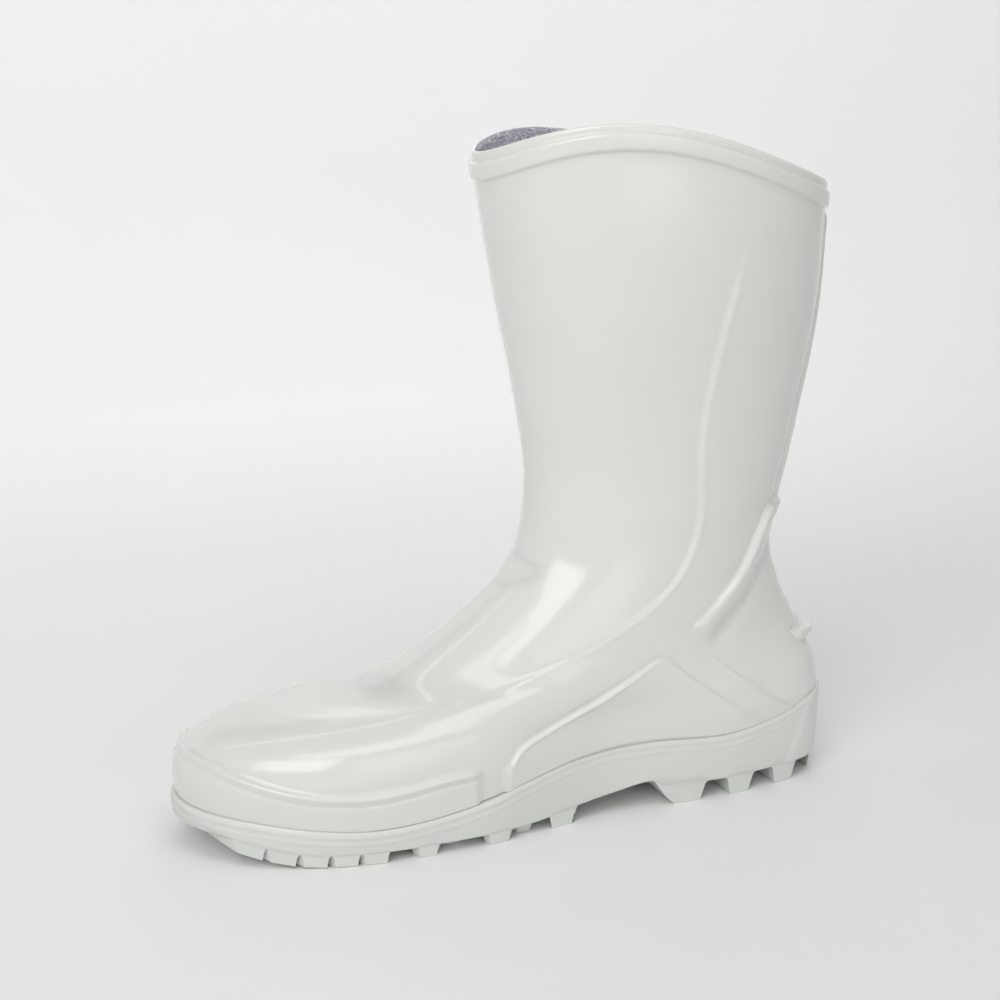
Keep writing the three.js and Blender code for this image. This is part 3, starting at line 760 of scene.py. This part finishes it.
def sole_body():
    """Plate and side as rows: inner floor from its middle line to its edge, up to the seam, out over
    the ledge, down the side with its beads, and along the underside back to the middle line."""
    angle = turns(SOLE_COLUMNS)
    x0 = side_ring(angle, 0)[0]
    top = seam(x0) - GAP / 2
    bottom = root(x0)
    room = skin(level_at(lambda x: floor_under(x) + 1, angle, -WALL), angle, np.full(angle.shape, -WALL))
    ledge = skin(level_at(lambda x: seam(x) - GAP / 2, angle, -WALL), angle, np.full(angle.shape, -WALL))
    middle = swing(room[:, 0])
    rows = []
    for share in np.linspace(0, 1, 6):
        y = middle + (room[:, 1] - middle) * share
        rows.append(np.stack([room[:, 0], y, floor_under(room[:, 0])], axis=-1))
    rows.append(np.stack([ledge[:, 0], ledge[:, 1], top], axis=-1))
    down = np.concatenate([[0, 0.15, 0.5, 0.9], np.arange(1.4, 8, 0.5)])
    for depth in down:
        rows.append(side_point(angle, top - depth, top, bottom, depth))
    for share in np.linspace(0, 1, 24)[1:]:
        z = (top - down[-1]) + (bottom + 0.8 - (top - down[-1])) * share
        rows.append(side_point(angle, z, top, bottom, top - z))
    rows.append(side_point(angle, bottom + 0.25, top, bottom, top - bottom, 0.25))
    rows.append(side_point(angle, bottom, top, bottom, top - bottom, 0.8))
    edge = rows[-1]
    middle = swing(edge[:, 0])
    for share in np.linspace(1, 0, 16)[1:]:
        y = middle + (edge[:, 1] - middle) * share
        rows.append(np.stack([edge[:, 0], y, edge[:, 2]], axis=-1))
    return np.stack(rows)[::-1]


def side_point(angle, z, top, bottom, depth, pull=0.0):
    """A row of the side at height z, with the round edge under the seam, two beads below it, a fine
    line above the tread and the raised panel round the back of the heel."""
    rounding = 0.6 * (1 - smooth(np.broadcast_to(depth, z.shape) / 0.9)) ** 2
    beads = 0.28 * hump(depth - 2, 0.6) + 0.25 * hump(depth - 5.2, 0.6)
    x, _ = side_ring(angle, draft(z))
    line = 0.25 * hump(z - LUG_DEPTH - 3.2, 0.6) * (x < HEEL_BREAST)
    back = 16 + (HEEL_HEIGHT + 10 - z) * 0.42
    panel = 0.8 * smooth((back - x + 0.6) / 1.2)
    x, y = side_ring(angle, draft(z) + beads - rounding - line + panel - pull)
    return np.stack([x, y, z], axis=-1)


def half_widths(x, z):
    """The side's right and left edge in plan at x, from its ring at the mean outset for heights z."""
    angle = turns(RING_COLUMNS)
    outset = draft(z)
    rings_x, rings_y = side_ring(angle, float(np.mean(outset)))
    left, right = np.sin(angle) > 0, np.sin(angle) < 0
    order_l, order_r = np.argsort(rings_x[left]), np.argsort(rings_x[right])
    high = np.interp(x, rings_x[left][order_l], rings_y[left][order_l])
    low = np.interp(x, rings_x[right][order_r], rings_y[right][order_r])
    return low, high


def lug(corners, draft_in, fillet=1.2, bevel=0.7, round_off=1.0, lean=0.0):
    """A lug from its plan at the root: rows go down from inside the plate over a fillet to a bevel
    and its flat foot. Points past the side are drawn back to it, and lean draws the front end back
    on the way down."""
    plan = rounded_plan(corners, round_off)
    centre = (plan.max(axis=0) + plan.min(axis=0)) / 2
    half = np.ptp(plan, axis=0) / 2
    front = (plan[:, 0] - plan[:, 0].min()) / np.ptp(plan[:, 0])
    profile = (
        (1.3, fillet), (1, fillet), (0.94, 0.4 * fillet), (0.85, 0.1), (0.5, -0.4 * draft_in),
        (0.15, -0.85 * draft_in), (0.06, -draft_in), (0.02, -draft_in - 0.3 * bevel), (0, -draft_in - bevel),
    )
    rows = []
    for share, by in profile:
        x, y = (centre + (plan - centre) * (1 + by / half)).T
        x = x - lean * (1 - share) * front
        z = ground(x) + share * (root(x) - ground(x))
        low, high = half_widths(x, z)
        inset = SIDE_INSET if share > 0 else SIDE_INSET + bevel
        y = soft_clamp(y, low + inset, high - inset)
        rows.append(np.stack([x, y, z], axis=-1))
    foot = rows[-1].mean(axis=0)
    for share in (0.5, 0.0):
        x, y = (foot[:2] + (rows[-1][:, :2] - foot[:2]) * share).T
        rows.append(np.stack([x, y, ground(x)], axis=-1))
    head = rows[0].mean(axis=0)
    first = np.broadcast_to(head, rows[0].shape)
    return np.stack([first, *rows])


def soft_clamp(y, low, high, width=0.25):
    """y kept between two edges, turning over softly within a width of them."""
    y = high - np.logaddexp(0, (high - y) / width) * width
    return low + np.logaddexp(0, (y - low) / width) * width


def rounded_plan(corners, radius, steps=4):
    """A polygon with its corners cut round: each is a curve from a point before it to one after it
    that bends towards the corner."""
    corners = np.asarray(corners, float)
    before = np.roll(corners, 1, axis=0) - corners
    after = np.roll(corners, -1, axis=0) - corners
    unit_b = before / np.linalg.norm(before, axis=1, keepdims=True)
    unit_a = after / np.linalg.norm(after, axis=1, keepdims=True)
    t = np.linspace(0, 1, steps + 1)[None, :, None]
    start, end = corners[:, None] + unit_b[:, None] * radius, corners[:, None] + unit_a[:, None] * radius
    curve = (1 - t) ** 2 * start + 2 * t * (1 - t) * corners[:, None] + t**2 * end
    points = curve.reshape(-1, 2)
    return refine(points)


def refine(points, longest=2.5):
    """The same closed line with points added so that no part is longer than a length."""
    following = np.roll(points, -1, axis=0)
    pieces = []
    for start, end in zip(points, following):
        count = max(1, int(np.ceil(np.linalg.norm(end - start) / longest)))
        pieces.append(start + (end - start) * np.arange(count)[:, None] / count)
    return np.vstack(pieces)


def hexagon(x, y, radius):
    """Six corners round a place, two of them ahead and behind."""
    turn = np.arange(6) * np.pi / 3
    return np.column_stack([x + radius * np.cos(turn), y + radius * np.sin(turn)])


def heel_lugs():
    """Lugs left and right of the channel, two in it, and the closed one round the back."""
    lugs = []
    half, wide = HEEL_CHANNEL / 2, BALL_WIDTH / 2
    for i in range(3):
        start = REAR_LUG + (i + 1) * LUG_PITCH - LUG_LENGTH
        end = start + LUG_LENGTH
        breast = i == 2
        end = HEEL_BREAST if breast else end
        for sign in (1, -1):
            plan = [(start, sign * half), (end, sign * half), (end, sign * wide), (start, sign * wide)]
            lugs.append(lug(plan[::sign], NOTCH_DRAFT, lean=BREAST_LEAN if breast else 0))
    for x in HEX_LUGS_AT:
        lugs.append(lug(hexagon(x, 0, HEX_LUG), STUD_DRAFT))
    lugs.append(rear_lug())
    return lugs


def forefoot_studs():
    """Rows of six-sided studs that lie back towards the sides, every other row half a pitch over."""
    studs = []
    for row in range(STUD_ROWS):
        count = STUDS_ACROSS - row % 2
        for i in range(count):
            y = (i - (count - 1) / 2) * STUD_PITCH
            x = STUD_FROM + row * STUD_ROW_PITCH - STUD_BOW * y * y
            low, high = half_widths(x, 0)
            y = np.clip(y, low - STUD_OUTSIDE, high + STUD_OUTSIDE)
            studs.append(lug(hexagon(x, y, STUD_RADIUS), STUD_DRAFT, 0.8, 0.5, 0.7))
    return studs


def between_lines(rows):
    """Loops of two lines, the second turned round, closed at both ends by the line midway."""
    rows = np.stack(rows)
    first, second = np.split(rows, 2, axis=1)
    middle = (first + second[:, ::-1]) / 2
    ends = np.concatenate([middle, middle[:, ::-1]], axis=1)
    return np.concatenate([ends[:1], rows, ends[-1:]])


def bar(rear):
    """A bar across the sole from the line of its rear edge: a closed loop for each height, whose
    ends lie a little inside the side."""
    half = BAR_LENGTH / 2
    centre = np.minimum(rear + half, LENGTH - BAR_STOP - half)
    profile = (
        (1.3, 1.3), (1, 1.3), (0.85, 0.9), (0.5, 0.65), (0.15, 0.5), (0.05, 0.35), (0, 0),
    )
    rows = []
    for share, by in profile:
        loop = []
        for side in (1, -1):
            x = centre + side * (half + by)
            z = ground(x) + share * (root(x) - ground(x))
            low, high = half_widths(x, z)
            inset = SIDE_INSET if share > 0 else FOOT_INSET
            y = (low + high) / 2 + (high - low - 2 * inset) / 2 * np.linspace(-1, 1, len(x))
            loop.append(np.stack([x, y, z], axis=-1)[::side])
        rows.append(np.concatenate(loop))
    return between_lines(rows)


def rear_lug():
    """The lug round the back of the heel: one edge follows the side and the other is straight."""
    profile = (
        (1.3, 0.8), (1, 0.8), (0.94, 0.4), (0.85, 0.1), (0.5, -0.5), (0.15, -1.2), (0.02, -1.6), (0, -2),
    )
    rows = []
    for share, by in profile:
        front, z = REAR_LUG + by, share * LUG_DEPTH
        outset = draft(z) - (SIDE_INSET if share > 0 else FOOT_INSET)
        ends = LENGTH - SOLE_EDGE + outset, SOLE_EDGE - outset
        start = np.arccos(1 - 2 * (front - ends[0]) / (ends[1] - ends[0]))
        x, y = side_ring(np.linspace(2 * np.pi - start, start, LINE_POINTS), outset)
        straight = np.stack([np.full(LINE_POINTS, front), np.linspace(y[-1], y[0], LINE_POINTS)])
        loop = np.concatenate([np.stack([x, y]), straight], axis=1)
        rows.append(np.stack([*loop, np.full(2 * LINE_POINTS, z)], axis=-1))
    return between_lines(rows)


def toe_bars():
    """Bars across the toe, bowed forwards in plan by the square of the way off the middle."""
    bars = []
    across = np.linspace(-1, 1, LINE_POINTS)
    for i in range(BAR_COUNT):
        x = BAR_FROM + i * BAR_PITCH - BAR_BOW * across**2
        bars.append(bar(x))
    return bars


def arch_ring(place):
    """A plain moulded ring on the arch: a small round bead carried round a circle."""
    turn, around = turns(48)[:, None], turns(10)[None, :]
    reach = RING_RADIUS + 0.55 * np.cos(around)
    x = place[0] + reach * np.cos(turn)
    y = place[1] + reach * np.sin(turn)
    return np.stack([x, y, root(x) - 0.1 + 0.6 * np.sin(around)], axis=-1)


tread = heel_lugs() + forefoot_studs() + toe_bars()
sole_grids = [(sole_body(), False, False)]
sole_grids += [(grid, False, True) for grid in tread]
sole_grids += [(arch_ring(place), True, True) for place in RING_PLACES]
outsole = merged(joined("outsole_moulded", sole_grids))
outsole.data.set_sharp_from_angle(angle=np.radians(EDGE_ANGLE))
outsole.data.materials.append(
    moulded_pvc("satin_pvc", (0.72, 0.74, 0.69), (0.68, 0.70, 0.66), (0.32, 0.44), 0.25, 0.0003, 1300)
)
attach(outsole, "root")
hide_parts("outsole")

# Insole: a loose footbed of grey felt over thin foam, cut to the floor of the boot with its edge
# turned up a little where it meets the sock. It is dropped in through the collar.
INSOLE_COLUMNS = 200
INSOLE_ROWS = 28
INSOLE_UV = (0.5, 0.08)
INSOLE_THICK = 4
INSOLE_INSET = WALL + LINING_THICK + 0.3


def footbed():
    """The footbed as rows: underside from its middle line to the edge, round the edge, and over the
    top back to the middle line, with a shallow heel cup."""
    angle = turns(INSOLE_COLUMNS)
    level = level_at(lambda x: floor_under(x) + 3, angle, -INSOLE_INSET)
    edge = skin(level, angle, np.full(angle.shape, -INSOLE_INSET))
    x, middle = edge[:, 0], swing(edge[:, 0])
    low = floor_under(x) + GAP
    profile = [(share, 0) for share in np.linspace(0, 0.98, 8)]
    profile += [(1, 0.25), (1, 0.6), (0.99, 0.9), (0.975, 1)]
    profile += [(share, 1 - 0.12 * (1 - share**4)) for share in np.linspace(0.95, 0, 16)]
    rows = []
    for share, up in profile:
        y = middle + (edge[:, 1] - middle) * share
        inward = 1 - (1 - share) * 0.02
        px = x if share > 0.9 else MIDDLE + (x - MIDDLE) * inward
        rows.append(np.stack([px, y, low + INSOLE_THICK * up], axis=-1))
    return np.stack(rows)


insole = joined("insole_footbed", [(footbed(), False, True)])
add_uv(insole, INSOLE_COLUMNS, INSOLE_ROWS, *INSOLE_UV)
merged(insole)
FELT_COLOURS = ((0.46, 0.48, 0.52), (0.36, 0.38, 0.43), (0.58, 0.6, 0.62))
insole.data.materials.append(cloth("footbed_felt", FELT_COLOURS, (1400, 1400), 0.0003, 0.95))
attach(insole, "root")
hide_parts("insole")

# Stage: a plain pale floor, five large soft lights and the camera at the photograph's angle.
CAMERA_AT = (0.2448, 0.6301, 0.2820)
CAMERA_TO = (-0.0098, 0, 0.140)
CAMERA_SHIFT = (-0.033, -0.013)  # brings the boot to the middle of the picture
FOCAL_LENGTH = 57.75
FLOOR_RADIUS = 1300
COVE_RADIUS = 1100


def stage_floor():
    """A round pale floor that turns up all round in a quarter circle and then stands upright."""
    turn = np.linspace(0, np.pi / 2, 25)
    reach = np.concatenate([[0, 400, 900], FLOOR_RADIUS + COVE_RADIUS * np.sin(turn)])
    rise = np.concatenate([[0, 0, 0], COVE_RADIUS * (1 - np.cos(turn))])
    reach, rise = np.append(reach, reach[-1])[:, None], np.append(rise, 1.6 * COVE_RADIUS)[:, None]
    around = turns(96)[None, :]
    points = np.stack([MIDDLE + reach * np.cos(around), reach * np.sin(around), rise + 0 * around], axis=-1)
    floor = merged(joined("floor", [(points, False, False)]))
    material = bpy.data.materials.new("pale_floor")
    material.use_nodes = True
    nodes, links = material.node_tree.nodes, material.node_tree.links
    shader = nodes["Principled BSDF"]
    place = nodes.new("ShaderNodeTexCoord").outputs["Object"]
    mottle = noise(nodes, links, place, 3, 2)
    tone = blend_colours(nodes, links, mottle, (0.86, 0.86, 0.86, 1), (0.88, 0.88, 0.88, 1))
    links.new(tone, shader.inputs["Base Color"])
    shader.inputs["Roughness"].default_value = 0.7
    shader.inputs["Specular IOR Level"].default_value = 0.1
    floor.data.materials.append(material)


def soft_light(name, at, to, size, power):
    """A rectangular area light at a place, turned to another."""
    data = bpy.data.lights.new(name, "AREA")
    data.shape = "RECTANGLE"
    data.size, data.size_y = size
    data.energy = power
    light = bpy.data.objects.new(name, data)
    light.location = at
    light.rotation_euler = (Vector(to) - Vector(at)).to_track_quat("-Z", "Y").to_euler()
    bpy.context.scene.collection.objects.link(light)
    return light


stage_floor()
soft_light("key_light", (0.85, 0.95, 0.85), (0.02, 0, 0.12), (0.9, 0.8), 7.8)
soft_light("top_light", (0.1, 0.55, 1.25), (0.02, 0, 0.1), (1.1, 0.6), 4.6)
soft_light("fill_light", (-0.1, 1.5, 0.35), (0, 0, 0.15), (0.7, 0.9), 2.3)
soft_light("back_light", (-0.5, -1.2, 1.1), (0, 0, 0.1), (0.9, 0.9), 1.7)
soft_light("backdrop_light", (0, -0.7, 1.6), (0, -2.4, 0.6), (2.4, 0.8), 20)

world = bpy.data.worlds.new("studio")
world.use_nodes = True
bpy.context.scene.world = world
background = world.node_tree.nodes["Background"]
background.inputs["Color"].default_value = (0.97, 0.98, 1, 1)
background.inputs["Strength"].default_value = 0.28

camera_data = bpy.data.cameras.new("camera")
camera_data.sensor_width = 36
camera_data.lens = FOCAL_LENGTH
camera_data.shift_x, camera_data.shift_y = CAMERA_SHIFT
camera = bpy.data.objects.new("camera", camera_data)
camera.location = CAMERA_AT
camera.rotation_euler = (Vector(CAMERA_TO) - Vector(CAMERA_AT)).to_track_quat("-Z", "Y").to_euler()
bpy.context.scene.collection.objects.link(camera)
bpy.context.scene.camera = camera
bpy.context.scene.view_settings.view_transform = "Standard"
